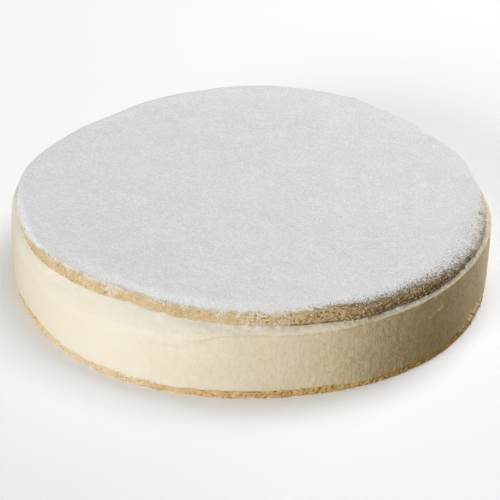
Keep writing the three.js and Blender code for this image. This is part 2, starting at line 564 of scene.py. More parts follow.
class Recipe:
    """Builds the node tree of one material, or of the world."""

    DUST_GRAIN = 0.7 * MM
    BARE_COVER = 0.26
    DUST_COVER = 0.48
    DUST_EDGE = 0.08

    def __init__(self, holder: Any) -> None:
        """Empties the node tree of a material or world.

        Args:
            holder: The material or world.
        """
        holder.use_nodes = True
        self.holder = holder
        self.tree = holder.node_tree
        self.tree.nodes.clear()

    @classmethod
    def material(cls, name: str) -> "Recipe":
        """Starts a new material."""
        return cls(bpy.data.materials.new(name))

    def node(self, kind: str, settings: dict[str, Any], inputs: dict[Any, Any], output: Any = 0) -> Any:
        """Adds any node.

        Args:
            kind: Node type.
            settings: Properties to set first.
            inputs: Values or links, by socket name or number.
            output: Which output to hand back.

        Returns:
            The chosen output as a link, or None for a node that ends the tree.
        """
        made = self.tree.nodes.new(kind)
        for key, value in settings.items():
            setattr(made, key, value)
        for key, value in inputs.items():
            if isinstance(value, Link):
                self.tree.links.new(value.socket, made.inputs[key])
            else:
                made.inputs[key].default_value = value
        return Link(self, made.outputs[output]) if len(made.outputs) else None

    def places(self, stretch: tuple[float, float, float] = (1.0, 1.0, 1.0)) -> Link:
        """Object coordinates, stretched by a factor each way."""
        plain = self.node("ShaderNodeTexCoord", {}, {}, "Object")
        return self.node("ShaderNodeMapping", {}, {"Vector": plain, "Scale": stretch})

    def noise(self, places: Link, size: float, detail: float = 2.0) -> Link:
        """Noise between about 0 and 1 with features of a size in metres."""
        inputs = {"Vector": places, "Scale": 1.0 / size, "Detail": detail}
        return self.node("ShaderNodeTexNoise", {}, inputs)

    def mark(self, mark: Mark) -> Link:
        """A value that the mesh carries."""
        return self.node("ShaderNodeAttribute", {"attribute_name": mark.value}, {}, "Fac")

    def rim_places(self, stretch: float) -> Link:
        """Places by the distance round and in from the rim, drawn out inward by a factor."""
        inward = stretch * self.mark(Mark.INWARD)
        return self.node("ShaderNodeCombineXYZ", {}, {0: self.mark(Mark.AROUND), 1: inward})

    def dusting(self, places: Link) -> Link:
        """Where sugar covers a surface: the mesh's dust set against one grainy pattern.

        Args:
            places: Coordinates of the pattern.

        Returns:
            Cover between 0 and 1.
        """
        coarse = self.noise(places, self.DUST_GRAIN)
        fine = self.noise(places, 0.5 * self.DUST_GRAIN, 1.0)
        cover = self.BARE_COVER + self.DUST_COVER * self.mark(Mark.DUST)
        return (cover - (0.6 * coarse + 0.4 * fine)).climb(-self.DUST_EDGE, self.DUST_EDGE)

    def blend(self, share: Any, first: Any, second: Any) -> Link:
        """Mixes two colours by a share."""
        return self.node("ShaderNodeMix", {"data_type": "RGBA"}, {0: share, 6: first, 7: second}, 2)

    def bump(self, height: Link, distance: float, strength: float) -> Link:
        """Bends the normal by a height."""
        inputs = {"Height": height, "Distance": distance, "Strength": strength}
        return self.node("ShaderNodeBump", {}, inputs)

    def finish(self, sockets: dict[str, Any]) -> bpy.types.Material:
        """Closes a material with one surface shader.

        Args:
            sockets: Values or links of the shader's sockets, by name.

        Returns:
            The material.
        """
        surface = self.node("ShaderNodeBsdfPrincipled", {}, sockets)
        self.node("ShaderNodeOutputMaterial", {}, {"Surface": surface})
        return self.holder


@dataclass(frozen=True)
class SugarFinish:
    """Fine dry icing sugar, white with a faint grain, and sponge between the grains where it thins out,
    darker sponge with painted shade at the right.
    """

    bright: Colour = (0.92, 0.92, 0.92, 1.0)
    shaded: Colour = (0.68, 0.685, 0.695, 1.0)
    sponge: Colour = (0.67, 0.55, 0.37, 1.0)
    # Darker sponge under the sugar at the coarse right, with painted shade.
    baked_and_shaded: Colour = (0.22, 0.165, 0.1, 1.0)
    grain: float = 1.1 * MM
    powder: float = 0.65 * MM
    drift: float = 14.0 * MM
    tones: tuple[float, float] = (0.32, 0.68)
    comb: float = 0.4
    roughness: float = 0.9
    shine: float = 0.2
    grain_height: float = 0.22 * MM
    grain_strength: float = 0.55

    def material(self, name: str) -> bpy.types.Material:
        """Grain of two sizes over slow drifts, in colour and relief.

        Args:
            name: Name of the material.

        Returns:
            The material.
        """
        recipe = Recipe.material(name)
        places = recipe.places()
        grain = recipe.noise(places, self.grain)
        powder = recipe.noise(places, self.powder, 1.0)
        drift = recipe.noise(places, self.drift)
        tone = (0.42 * grain + 0.46 * powder + 0.12 * drift).climb(*self.tones)
        white = recipe.blend(tone, self.shaded, self.bright)
        # Sponge under the sugar, darker with painted shade by the mesh's mark.
        under = recipe.blend(recipe.mark(Mark.PORE_AND_SHADE), self.sponge, self.baked_and_shaded)
        relief = 0.65 * grain + 0.35 * powder
        return recipe.finish({
            "Base Color": recipe.blend(recipe.dusting(recipe.rim_places(self.comb)), under, white),
            "Roughness": self.roughness,
            "Specular IOR Level": self.shine,
            "Normal": recipe.bump(relief, self.grain_height, self.grain_strength),
        })


@dataclass(frozen=True)
class CreamFinish:
    """Set ricotta cream: ivory, with vertical drag marks, fine grit specks, painted shade over its front
    and right and sugar dust on its ledge.
    """

    ivory: Colour = (0.82, 0.795, 0.71, 1.0)
    butter: Colour = (0.795, 0.72, 0.53, 1.0)
    # Colour of the painted shade, and of the grit's dark specks.
    shade: Colour = (0.42, 0.355, 0.22, 1.0)
    sugar: Colour = (0.86, 0.85, 0.83, 1.0)
    cloud: float = 22.0 * MM
    drag: float = 1.3 * MM
    drag_stretch: float = 0.22
    mottles: tuple[float, float] = (0.3, 0.7)
    grit: float = 0.95 * MM
    smudge: float = 2.6 * MM
    grit_stretch: float = 0.7
    specks: tuple[float, float] = (0.36, 0.64)
    grit_and_painted_shade: float = 0.3
    sugar_cover: float = 0.8
    roughness: float = 0.48
    shine: float = 0.3
    depth: float = 3.5 * MM
    depth_share: float = 0.5
    depth_tint: tuple[float, float, float] = (1.0, 0.75, 0.5)
    relief: float = 0.2 * MM
    relief_strength: float = 0.8

    def material(self, name: str) -> bpy.types.Material:
        """Clouded ivory, fine drag marks along the height, grit specks, and painted shade and dust by the
        mesh's own marks.

        Args:
            name: Name of the material.

        Returns:
            The material.
        """
        recipe = Recipe.material(name)
        places = recipe.places()
        drag = recipe.noise(recipe.places((1.0, 1.0, self.drag_stretch)), self.drag)
        cloud = recipe.noise(places, self.cloud)
        stretched = recipe.places((1.0, 1.0, self.grit_stretch))
        grit = recipe.noise(stretched, self.grit)
        smudge = recipe.noise(stretched, self.smudge)
        rough = recipe.mark(Mark.GRIT)
        dust = recipe.dusting(places)
        mottle = (0.6 * cloud + 0.4 * drag).climb(*self.mottles)
        # Ivory to butter by the mesh's warmth, which holds painted warm bounce on the cream's shaded right.
        cream = recipe.blend(0.3 * mottle + 0.7 * recipe.mark(Mark.WARM), self.ivory, self.butter)
        specks = (0.5 * grit + 0.5 * smudge).climb(*self.specks)
        # Painted shade by the mesh's mark, with the grit's random dark specks on top.
        painted_shade = self.grit_and_painted_shade * (0.9 * recipe.mark(Mark.PORE_AND_SHADE) + 0.8 * rough * (specks - 0.5))
        gritty_and_shaded = recipe.blend(painted_shade, cream, self.shade)
        relief = rough * (0.45 * drag + 0.7 * grit + 0.9 * smudge)
        return recipe.finish({
            "Base Color": recipe.blend(self.sugar_cover * dust, gritty_and_shaded, self.sugar),
            "Roughness": self.roughness + 0.1 * drag + 0.3 * dust,
            "Specular IOR Level": self.shine,
            "Subsurface Weight": self.depth_share,
            "Subsurface Radius": self.depth_tint,
            "Subsurface Scale": self.depth,
            "Normal": recipe.bump(relief, self.relief, self.relief_strength),
        })


@dataclass(frozen=True)
class SpongeFinish:
    """Baked sponge: tan crumb, dark where the mesh marks pores and painted shade, white where sugar clings
    to it.
    """

    crumb: Colour
    crust: Colour
    # Colour of the pores and of the painted shade.
    pore_and_shade: Colour
    golden: Colour = (0.46, 0.325, 0.11, 1.0)
    sugar: Colour = (0.85, 0.84, 0.82, 1.0)
    patch: float = 9.0 * MM
    crumb_size: float = 1.2 * MM
    fine: float = 0.7 * MM
    tones: tuple[float, float] = (0.36, 0.64)
    speck: float = 1.6
    speck_tones: tuple[float, float] = (0.22, 0.7)
    sugar_cover: float = 0.9
    roughness: float = 0.85
    shine: float = 0.2
    depth: float = 1.5 * MM
    depth_share: float = 0.1
    depth_tint: tuple[float, float, float] = (1.0, 0.5, 0.2)
    relief: float = 0.3 * MM
    relief_strength: float = 0.5

    def material(self, name: str) -> bpy.types.Material:
        """Patchy tan, pores and painted shade by the mesh's own mark broken into dark specks, and sugar by
        its dust.

        Args:
            name: Name of the material.

        Returns:
            The material.
        """
        recipe = Recipe.material(name)
        places = recipe.places()
        patch = recipe.noise(places, self.patch)
        crumb = recipe.noise(places, self.crumb_size)
        fine = recipe.noise(places, self.fine, 1.0)
        tone = (0.5 * patch + 0.35 * crumb + 0.15 * fine).climb(*self.tones)
        tan = recipe.blend(tone, self.crumb, self.crust)
        browned = recipe.blend(recipe.mark(Mark.WARM), tan, self.golden)
        # The mesh's mark of pores and painted shade, broken up by random specks.
        specked = recipe.mark(Mark.PORE_AND_SHADE) + self.speck * (0.6 * fine + 0.4 * crumb) - 0.5 * self.speck
        open_crumb = recipe.blend(specked.climb(*self.speck_tones), browned, self.pore_and_shade)
        return recipe.finish({
            "Base Color": recipe.blend(self.sugar_cover * recipe.dusting(places), open_crumb, self.sugar),
            "Roughness": self.roughness + 0.1 * crumb,
            "Specular IOR Level": self.shine,
            "Subsurface Weight": self.depth_share,
            "Subsurface Radius": self.depth_tint,
            "Subsurface Scale": self.depth,
            "Normal": recipe.bump(0.6 * crumb + 0.4 * fine, self.relief, self.relief_strength),
        })


def dress(piece: bpy.types.Object, material: bpy.types.Material) -> None:
    """Gives a piece its finish and slot, and lets it ride on the cake's one body.

    Args:
        piece: The new object.
        material: Its finish.
    """
    piece.data.materials.append(material)
    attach(piece, "root")
    LOG.info("%s: %d faces", piece.name, len(piece.data.polygons))


@dataclass
class BaseSponge:
    """The thin sponge sheet under the cream, worn and crumbly along its side."""

    form: CakeForm
    finish: SpongeFinish = SpongeFinish(
        crumb=(0.76, 0.575, 0.31, 1.0),
        crust=(0.64, 0.45, 0.205, 1.0),
        pore_and_shade=(0.36, 0.22, 0.08, 1.0),
        golden=(0.60, 0.41, 0.115, 1.0),
    )
    side_rows: int = 16
    flat_margin: float = 3.4 * MM
    wear: float = 0.25 * MM
    wear_change: Rough = Rough(0.6, 9.0 * MM, 1.0)
    least_flush: float = 0.35 * MM
    window_flush: float = 0.6
    left_flush: Nick = Nick(-124.0, 22.0, 0.6 * MM)
    crumb: float = 0.35 * MM
    tears: tuple[Rough, ...] = (
        Rough(0.8, 6.0 * MM, 5.0 * MM),
        Rough(0.9, 2.2 * MM, 1.6 * MM, 0.4),
        Rough(0.5, 1.0 * MM, 0.8 * MM, 0.7),
    )
    pores: Pits = Pits(1.7 * MM, 0.55)
    pore_depth: float = 1.6
    pore_shade: float = 0.8
    browning: float = 0.22 / MM
    dust: float = 0.05
    pale_dust: float = 0.3
    pale: Stretch = Stretch(-138.0, 14.0, 44.0)
    golden: Nick = Nick(-64.0, 22.0, 0.55)
    seed: int = 11

    def rows(self, grain: Grain) -> Rows:
        """Rows run from the flat underside round the worn edge, up the side and in under the cream.

        The wear at the foot grows by the cube of the way down, and the side leans out toward the cream.

        Args:
            grain: Source of the base's noise.

        Returns:
            The rows.
        """
        angle = columns()
        edge = self.form.base_edge(angle)
        share = np.linspace(0.0, 1.0, self.side_rows)[:, None]
        wear = self.wear * (1.0 + self.wear_change.at(grain, angle, 0.0 * angle))
        flush = self.window_flush * self.form.lip_window.at(angle) + self.left_flush.at(angle)
        flush = np.minimum(self.least_flush + flush, self.form.overhang)
        side = edge - wear * (1.0 - share) ** 3 + flush * share
        inner = edge - self.flat_margin
        radius = np.concatenate([[inner], side, [inner]])
        level = np.concatenate([[0.0], share[:, 0], [1.0]])
        height = self.form.base_top * level[:, None] + 0.0 * edge
        return Rows(angle, radius, height, height)

    def skin(self) -> Skin:
        """Turns the rows, tears the side into crumb and keeps the underside flat.

        Returns:
            The skin, with pores and their painted shade, dust and warmth marked.
        """
        grain = Grain(self.seed)
        rows = self.rows(grain)
        skin = Skin.turned(rows, 0.0, self.form.base_top)
        pores = self.pores.at(grain, rows.around, rows.along)
        tears = layered(self.tears, grain, rows.around, rows.along)
        on_side = skin.between(1, len(rows.radius) - 1)
        skin.push(self.crumb * (tears - self.pore_depth * pores) * on_side)
        skin.rings[..., 2] = np.maximum(skin.rings[..., 2], 0.0)
        skin.rings[0, :, 2] = 0.0
        # Painted shade in the pores, and browning along the lip's window.
        shade = self.pore_shade * pores + self.browning * self.form.lip_window.at(rows.angle)
        skin.marks = {
            Mark.PORE_AND_SHADE: np.clip(shade, 0.0, 1.0) * on_side,
            Mark.DUST: (self.dust + self.pale_dust * self.pale.at(rows.angle)) * on_side,
            Mark.WARM: self.golden.at(rows.angle) * on_side,
        }
        return skin

    def make(self, skin: Skin) -> None:
        """Makes and dresses the base from its skin.

        Args:
            skin: The base's skin.
        """
        piece = skin.to_piece("sponge_base")
        dress(piece, self.finish.material("golden_sponge"))
        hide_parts("base_sponge")


@dataclass(frozen=True)
class Crease:
    """A short crease or fleck in the cream's side between two places given by angle and height."""

    start: tuple[float, float]
    end: tuple[float, float]
    width: float
    depth: float

    def at(self, angle: Array, height: Array) -> Array:
        """The depth times exp(-(d / width)^2), with d the distance to the segment on the unrolled side.

        Args:
            angle: Angles round the cake, in radians.
            height: Way up the side.

        Returns:
            The depth at each place.
        """
        girth = GIRTH / 360.0
        across = turn_from(angle, self.start[0]) * girth
        along = height - self.start[1]
        run_across = turn_from(np.radians(self.end[0]), self.start[0]) * girth
        run_along = self.end[1] - self.start[1]
        share = (across * run_across + along * run_along) / (run_across**2 + run_along**2)
        share = np.clip(share, 0.0, 1.0)
        gap = (across - share * run_across) ** 2 + (along - share * run_along) ** 2
        return self.depth * np.exp(-gap / self.width**2)


@dataclass(frozen=True)
class WipedStep:
    """A thin step left by wiping: full above a slanting line between two places, faded at its ends."""

    low: tuple[float, float]
    high: tuple[float, float]
    depth: float
    fade_in: tuple[float, float] = (-4.0, 3.0)
    fade_out: tuple[float, float] = (-2.0, 1.0)
    edge: tuple[float, float] = (-0.5 * MM, 0.9 * MM)

    def at(self, angle: Array, height: Array) -> Array:
        """The depth times an eased climb over the line's edge and eased fades at its two ends.

        Args:
            angle: Angles round the cake, in radians.
            height: Way up the side.

        Returns:
            The step's height at each place.
        """
        turn = turn_from(angle, self.low[0])
        run = self.high[0] - self.low[0]
        line = self.low[1] + (self.high[1] - self.low[1]) * turn / run
        fade = ease(turn, *self.fade_in) * (1.0 - ease(turn - run, *self.fade_out))
        return self.depth * fade * ease(height - line, *self.edge)


@dataclass
class RicottaCream:
    """The deep band of cream: a lip over the base, a dragged side, a shoulder and a dusted ledge."""

    form: CakeForm
    finish: CreamFinish = CreamFinish()
    side_rows: int = 44
    shoulder_rows: int = 9
    ledge_rows: int = 10
    lip_round: float = 0.8 * MM
    lip_edge: float = 0.3 * MM
    lip_clearance: float = 0.3 * MM
    lip_rags: tuple[Rough, ...] = (Rough(0.45 * MM, 7.0 * MM, 1.0), Rough(0.25 * MM, 2.2 * MM, 1.0, 3.0))
    bulge: float = 0.35 * MM
    crisp_tilt: float = 79.0
    disc_tilt: float = 32.0
    right_disc_tilt: float = 50.0
    flatter: Onset = Onset(-76.0, 0.0, 24.0)
    crisp_round: float = 0.7 * MM
    wiped_tilt: float = 31.0
    wiped_round: float = 14.0 * MM
    least_room: float = 1.2 * MM
    slope_tuck: float = 0.6 * MM
    least_slope: float = 0.12 * MM
    ledge_tuck: float = 4.0 * MM
    laps: tuple[Nick, ...] = (
        Nick(-138.0, 10.0, -1.1 * MM),
        Nick(-114.0, 11.0, 1.3 * MM),
        Nick(-88.0, 17.0, 0.4 * MM),
        Nick(174.0, 13.0, 1.7 * MM),
    )
    sways: tuple[Rough, ...] = (
        Rough(0.28 * MM, 55.0 * MM, 30.0 * MM),
        Rough(0.14 * MM, 13.0 * MM, 7.0 * MM, 1.7),
    )
    drags: tuple[Rough, ...] = (
        Rough(0.021 * MM, 2.8 * MM, 9.0 * MM, 0.5),
        Rough(0.035 * MM, 1.1 * MM, 3.2 * MM, 0.9),
    )
    wiped_away: float = 0.8
    smear: WipedStep = WipedStep((-104.0, 33.0 * MM), (-95.0, 40.0 * MM), 0.1 * MM)
    creases: tuple[Crease, ...] = (
        Crease((-75.4, 37.0 * MM), (-72.6, 32.0 * MM), 0.5 * MM, 0.16 * MM),
        Crease((-72.6, 32.0 * MM), (-70.5, 31.0 * MM), 0.5 * MM, 0.14 * MM),
        Crease((-72.6, 32.0 * MM), (-72.9, 28.5 * MM), 0.5 * MM, 0.14 * MM),
        Crease((-116.0, 31.0 * MM), (-112.5, 29.5 * MM), 0.9 * MM, 0.2 * MM),
        Crease((-112.0, 28.5 * MM), (-108.5, 28.0 * MM), 0.8 * MM, 0.22 * MM),
        Crease((-108.0, 29.0 * MM), (-105.0, 27.5 * MM), 0.8 * MM, 0.22 * MM),
        Crease((-104.5, 28.5 * MM), (-102.5, 27.0 * MM), 0.7 * MM, 0.16 * MM),
    )
    flecks: tuple[Crease, ...] = (
        Crease((-42.6, 29.2 * MM), (-41.7, 29.6 * MM), 0.9 * MM, 0.9 * MM),
        Crease((-44.0, 28.3 * MM), (-43.8, 28.4 * MM), 0.7 * MM, 0.6 * MM),
        Crease((-45.2, 26.6 * MM), (-45.0, 26.7 * MM), 0.7 * MM, 0.6 * MM),
    )
    clump_depths: tuple[float, float] = (6.0 * MM, 2.0 * MM)
    clumps: tuple[Rough, ...] = (
        Rough(0.156 * MM, 6.0 * MM, 5.0 * MM, 2.3),
        Rough(0.208 * MM, 2.4 * MM, 2.0 * MM, 2.9),
    )
    torn: Rough = Rough(0.45 * MM, 3.6 * MM, 3.0 * MM, 3.3)
    torn_run: float = 1.2 * MM
    torn_room: tuple[float, float] = (0.6 * MM, 2.0 * MM)
    dust: float = 0.34
    dust_run: tuple[float, float] = (0.8 * MM, 2.5 * MM)
    dust_patches: Rough = Rough(0.2, 5.0 * MM, 4.0 * MM, 1.3)
    right_dust: float = 0.22
    dustier: Onset = Onset(-42.0, -30.0, -10.0)
    snowed: Nick = Nick(179.0, 13.0, 0.8)
    snow_depths: tuple[float, float] = (5.0 * MM, 1.0 * MM)
    even: Stretch = Stretch(-140.0, 12.0, 62.0)
    shaded: Stretch = Stretch(-42.0, 20.0, 60.0)
    even_grit: float = 0.8
    shaded_grit: float = 0.7
    # Painted shade, not pores: over all but the left of the cream, heavier over a stretch at the right and
    # darker low down there.
    pores: float = 0.27
    painted_shade: Stretch = Stretch(-42.0, 12.0, 36.0)
    right_painted_shade: float = 1.5
    low_painted_shade: float = 0.6
    low_shade_heights: tuple[float, float] = (6.0 * MM, 34.0 * MM)
    # Less painted shade at the front; painted shade along the crest and under the left lap.
    clear: Nick = Nick(-77.0, 13.0, 0.33)
    crest_shade: float = 0.9
    lap_shade: Nick = Nick(-106.0, 13.0, 0.7)
    # Butter tint over the front and right, and on top of it painted warm bounce on the shaded right.
    warmth: float = 0.8
    painted_warm_bounce: Nick = Nick(-60.0, 14.0, 0.45)
    warmer: Onset = Onset(-122.0, 0.0, 48.0)
    cooler: Onset = Onset(-122.0, 100.0, 160.0)
    seed: int = 23

    def sloped_top(
        self, angle: Array, tilts: tuple[Any, Any], rounding: float,
    ) -> tuple[Array, Array, Array]:
        """A round that tips the side inward, then a slope up to the disc, then level under it.

        The slope's rise for each step inward goes from its value at the round to that at the disc by the
        square of the way in. Its height is the same whether or not the disc is nicked there, and both round
        and slope shrink where the disc comes out over the shoulder.

        Args:
            angle: Angles round the cake, in radians.
            tilts: How far the slope leans in from upright, in degrees, at the round and at the disc.
            rounding: Radius of the round.

        Returns:
            Height where the side ends, then radius and height of the rows above it.
        """
        form = self.form
        shoulder = form.shoulder(angle)
        reach = form.disc_reach(angle)
        level = form.cream_top + summed(self.laps, angle)
        width = shoulder - form.disc_outline(angle) + self.slope_tuck
        room = 0.5 * (width + np.sqrt(width**2 + self.least_room**2))
        tilt, end_tilt = (np.radians(value + 0.0 * angle) for value in tilts)
        turn = np.linspace(0.0, tilt, self.shoulder_rows + 1)[1:]
        fitted = rounding * (1.0 - np.exp(-room / self.least_room))
        round_in, round_up = fitted * (1.0 - np.cos(turn)), fitted * np.sin(turn)
        slope_in = np.maximum(shoulder - reach + self.slope_tuck - round_in[-1], self.least_slope)
        onward = np.linspace(0.0, 1.0, self.ledge_rows)[1:, None]
        first, last = 1.0 / np.tan(tilt), 1.0 / np.tan(end_tilt)
        rise = first * onward + (last - first) * onward**3 / 3.0
        slope_up = np.maximum(room - round_in[-1], 0.0) * rise
        foot = level - slope_up[-1] - round_up[-1]
        sloped = shoulder - round_in[-1] - slope_in * onward
        radius = np.concatenate([shoulder - round_in, sloped, [reach - self.ledge_tuck]])
        height = np.concatenate([foot + round_up, foot + round_up[-1] + slope_up, [level]])
        return foot, radius, height

    def rows(self, grain: Grain) -> tuple[Rows, Array]:
        """Rows run under the lip, up the side, over the shoulder and in along the ledge.

        The side is straight but for a bulge of half a sine, and what is above it is crisp, or wiped soft
        on the left.

        Args:
            grain: Source of the cream's noise.

        Returns:
            The rows, and the height where the side ends.
        """
        angle = columns()
        form = self.form
        foot = form.cream_foot(angle)
        inside = np.minimum(form.base_edge(angle) - self.lip_clearance, foot - self.lip_round)
        ragged = layered(self.lip_rags, grain, angle, 0.0 * angle)
        lip = form.base_top - np.maximum(form.lip_drop(angle) + ragged, form.lip_least_drop)
        soft = form.wiped.at(angle)
        right_tilt = self.disc_tilt + (self.right_disc_tilt - self.disc_tilt) * self.flatter.at(angle)
        crisp = self.sloped_top(angle, (self.crisp_tilt, right_tilt), self.crisp_round)
        wiped = self.sloped_top(angle, (self.wiped_tilt, self.wiped_tilt), self.wiped_round)
        end, top_radius, top_height = (hard + (mild - hard) * soft for hard, mild in zip(crisp, wiped))
        start = lip + self.lip_round
        share = np.linspace(0.0, 1.0, self.side_rows)[:, None]
        side_height = start + (end - start) * share
        side_radius = foot + (form.shoulder(angle) - foot) * share + self.bulge * np.sin(math.pi * share)
        lip_radius = [inside - self.ledge_tuck, inside, foot - self.lip_edge]
        lip_height = [form.base_top + 0.0 * angle, lip + self.lip_edge, lip]
        radius = np.concatenate([lip_radius, side_radius, top_radius])
        height = np.concatenate([lip_height, side_height, top_height])
        return Rows(angle, radius, height, height + (form.shoulder_radius - radius)), end

    def near_top(self, rows: Rows) -> Array:
        """1 close under the cream's top where its shoulder is crisp, and 0 lower down and at the left."""
        rise = ease(rows.height - self.form.cream_top, *(-depth for depth in self.clump_depths))
        return rise * (1.0 - self.form.wiped.at(rows.angle))

    def relief(self, rows: Rows, grain: Grain) -> Array:
        """Slow sways, fine drag marks, creases, flecks, clumps at the top and torn bits at the disc.

        Args:
            rows: The cream's rows.
            grain: Source of the cream's noise.

        Returns:
            How far each point is pushed out, nothing on the two hidden rows.
        """
        form = self.form
        around, along = rows.around, rows.along
        relief = layered(self.sways, grain, around, along) + self.smear.at(around, along)
        brushed = 1.0 - self.wiped_away * form.wiped.at(around)
        relief = relief + brushed * layered(self.drags, grain, around, along)
        relief = relief - sum(crease.at(around, along) for crease in self.creases)
        relief = relief + sum(fleck.at(around, along) for fleck in self.flecks)
        relief = relief + self.near_top(rows) * layered(self.clumps, grain, around, along)
        reach = form.disc_reach(rows.angle)
        at_disc = ease(reach + self.torn_run - rows.radius, 0.0, self.torn_run)
        at_disc = at_disc * ease(form.shoulder(rows.angle) - reach, *self.torn_room)
        relief = relief + at_disc * self.torn.at(grain, around, along)
        relief[:2] = 0.0
        return relief

    def shed(self, rows: Rows, grain: Grain) -> Array:
        """Sugar that fell on the ledge, in patches, and more of it at the right.

        Args:
            rows: The cream's rows.
            grain: Source of the cream's noise.

        Returns:
            The sugar's share at each point, from 0 to 1.
        """
        on_ledge = ease(self.form.shoulder(rows.angle) - rows.radius, *self.dust_run) * self.near_top(rows)
        dusted = self.dust + self.right_dust * self.dustier.at(rows.around)
        dusted = dusted + self.dust_patches.at(grain, rows.around, rows.along)
        return np.clip(on_ledge * dusted, 0.0, 1.0)

    def shade(self, rows: Rows, end: Array) -> Array:
        """Painted shade over the front and right of the cream, more of it low down at the right, along the
        crest and under the left lap.

        Args:
            rows: The cream's rows.
            end: Height where the side ends.

        Returns:
            The shade at each point.
        """
        form = self.form
        low = 1.0 - ease(rows.height, *self.low_shade_heights)
        painted_shade = self.right_painted_shade * self.painted_shade.at(rows.around) * (1.0 + self.low_painted_shade * low)
        # Painted shade, not pores.
        pores = self.pores * (1.0 - self.even.at(rows.around)) + painted_shade - self.clear.at(rows.angle)
        edge_row = len(rows.radius) - self.shoulder_rows - self.ledge_rows
        crest = np.zeros_like(rows.radius)
        crest[edge_row - 1:edge_row + self.shoulder_rows] = 1.0 - form.wiped.at(rows.angle)
        lapped = self.lap_shade.at(rows.angle) * ease(rows.height, end, form.cream_top)
        return pores + self.crest_shade * crest + lapped

    def skin(self) -> Skin:
        """Turns the rows, roughens them and marks them.

        Returns:
            The skin, with shed sugar, dust, grit, painted shade and warmth marked.
        """
        grain = Grain(self.seed)
        rows, end = self.rows(grain)
        skin = Skin.turned(rows, self.form.base_top, self.form.cream_top)
        skin.push(self.relief(rows, grain))
        shed = self.shed(rows, grain)
        snow = ease(rows.height - end, *(-depth for depth in self.snow_depths))
        warmth = self.warmth + self.painted_warm_bounce.at(rows.angle)
        grit = self.shaded_grit * self.shaded.at(rows.around) - self.even_grit * self.even.at(rows.around)
        skin.marks = {
            Mark.SHED: shed,
            Mark.DUST: np.minimum(shed + self.snowed.at(rows.angle) * snow, 1.0),
            Mark.GRIT: 1.0 + grit,
            Mark.PORE_AND_SHADE: self.shade(rows, end),
            Mark.WARM: warmth * self.warmer.at(rows.around) * (1.0 - self.cooler.at(rows.around)),
        }
        return skin

    def make(self, skin: Skin) -> None:
        """Makes and dresses the cream from its skin.

        Args:
            skin: The cream's skin.
        """
        piece = skin.to_piece("ricotta_band")
        dress(piece, self.finish.material("ricotta"))
        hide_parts("ricotta_cream")


@dataclass
class SugarEdge:
    """Where the sugar ends on the disc, shared by the coat and the sponge under it.

    Places on the disc are told by their climb: the distance from the foot of the rounded rim up over it
    and on in along the top. The rim shows bare sponge along the front, coarse and torn at the right.
    """

    form: CakeForm
    front: Stretch = Stretch(-74.0, 66.0, 94.0)
    coarse: Stretch = Stretch(-38.0, 18.0, 54.0)
    front_climb: float = 5.0 * MM
    back_climb: float = 2.5 * MM
    retreats: tuple[Nick, ...] = (
        Nick(-149.0, 5.0, 1.2 * MM),
        Nick(-124.5, 2.5, 1.2 * MM),
        Nick(-110.0, 6.0, 2.0 * MM),
        Nick(-96.0, 2.5, 1.5 * MM),
        Nick(-72.0, 18.0, 4.5 * MM),
        Nick(-28.0, 9.0, -2.5 * MM),
    )
    rags: tuple[Rough, ...] = (Rough(0.32 * MM, 26.0 * MM, 1.0), Rough(0.64 * MM, 4.5 * MM, 1.0, 3.0))
    left_out: float = 0.36
    thin: Nick = Nick(-51.0, 22.0, 0.36)
    haze: float = 4.2 * MM
    coarse_haze: float = 6.0 * MM
    long_haze: tuple[Nick, ...] = (Nick(-24.0, 14.0, 11.0 * MM), Nick(-140.0, 22.0, 4.5 * MM))
    patches: Rough = Rough(0.22, 2.8 * MM, 2.4 * MM)
    coarse_calm: float = 0.6
    seed: int = 37
    patch_seed: int = 38

    @property
    def rim_run(self) -> float:
        """Length of the rim's quarter arc."""
        return self.form.rim_round * (math.pi / 2.0)

    def climb(self, angle: Array) -> Array:
        """Climb at the sugar's edge: low at the back, higher in front, with noise of two sizes.

        Args:
            angle: Angles round the cake, in radians.

        Returns:
            The climb at each angle.
        """
        ragged = layered(self.rags, Grain(self.seed), angle, 0.0 * angle)
        drawn = self.front_climb - self.back_climb + summed(self.retreats, angle)
        return self.back_climb + drawn * self.front.at(angle) + ragged

    def dust(self, angle: Array, inward: Array) -> Array:
        """Dust by the distance in from the sugar's edge, growing evenly over the haze, wide at the right.

        Args:
            angle: Angles round the cake, in radians.
            inward: Distance in from the sugar's edge.

        Returns:
            Dust from the edge's own, which is full at the back and partial in front, to 1.
        """
        front, coarse = self.front.at(angle), self.coarse.at(angle)
        cover = 1.0 - front * (self.left_out + self.thin.at(angle))
        haze = self.haze + self.coarse_haze * front * coarse + summed(self.long_haze, angle)
        patchy = (1.0 - self.coarse_calm * coarse) * self.patches.at(Grain(self.patch_seed), angle, inward)
        share = np.clip(inward / haze, 0.0, 1.0)
        return cover + (1.0 - cover) * share + patchy * front * (1.0 - share)


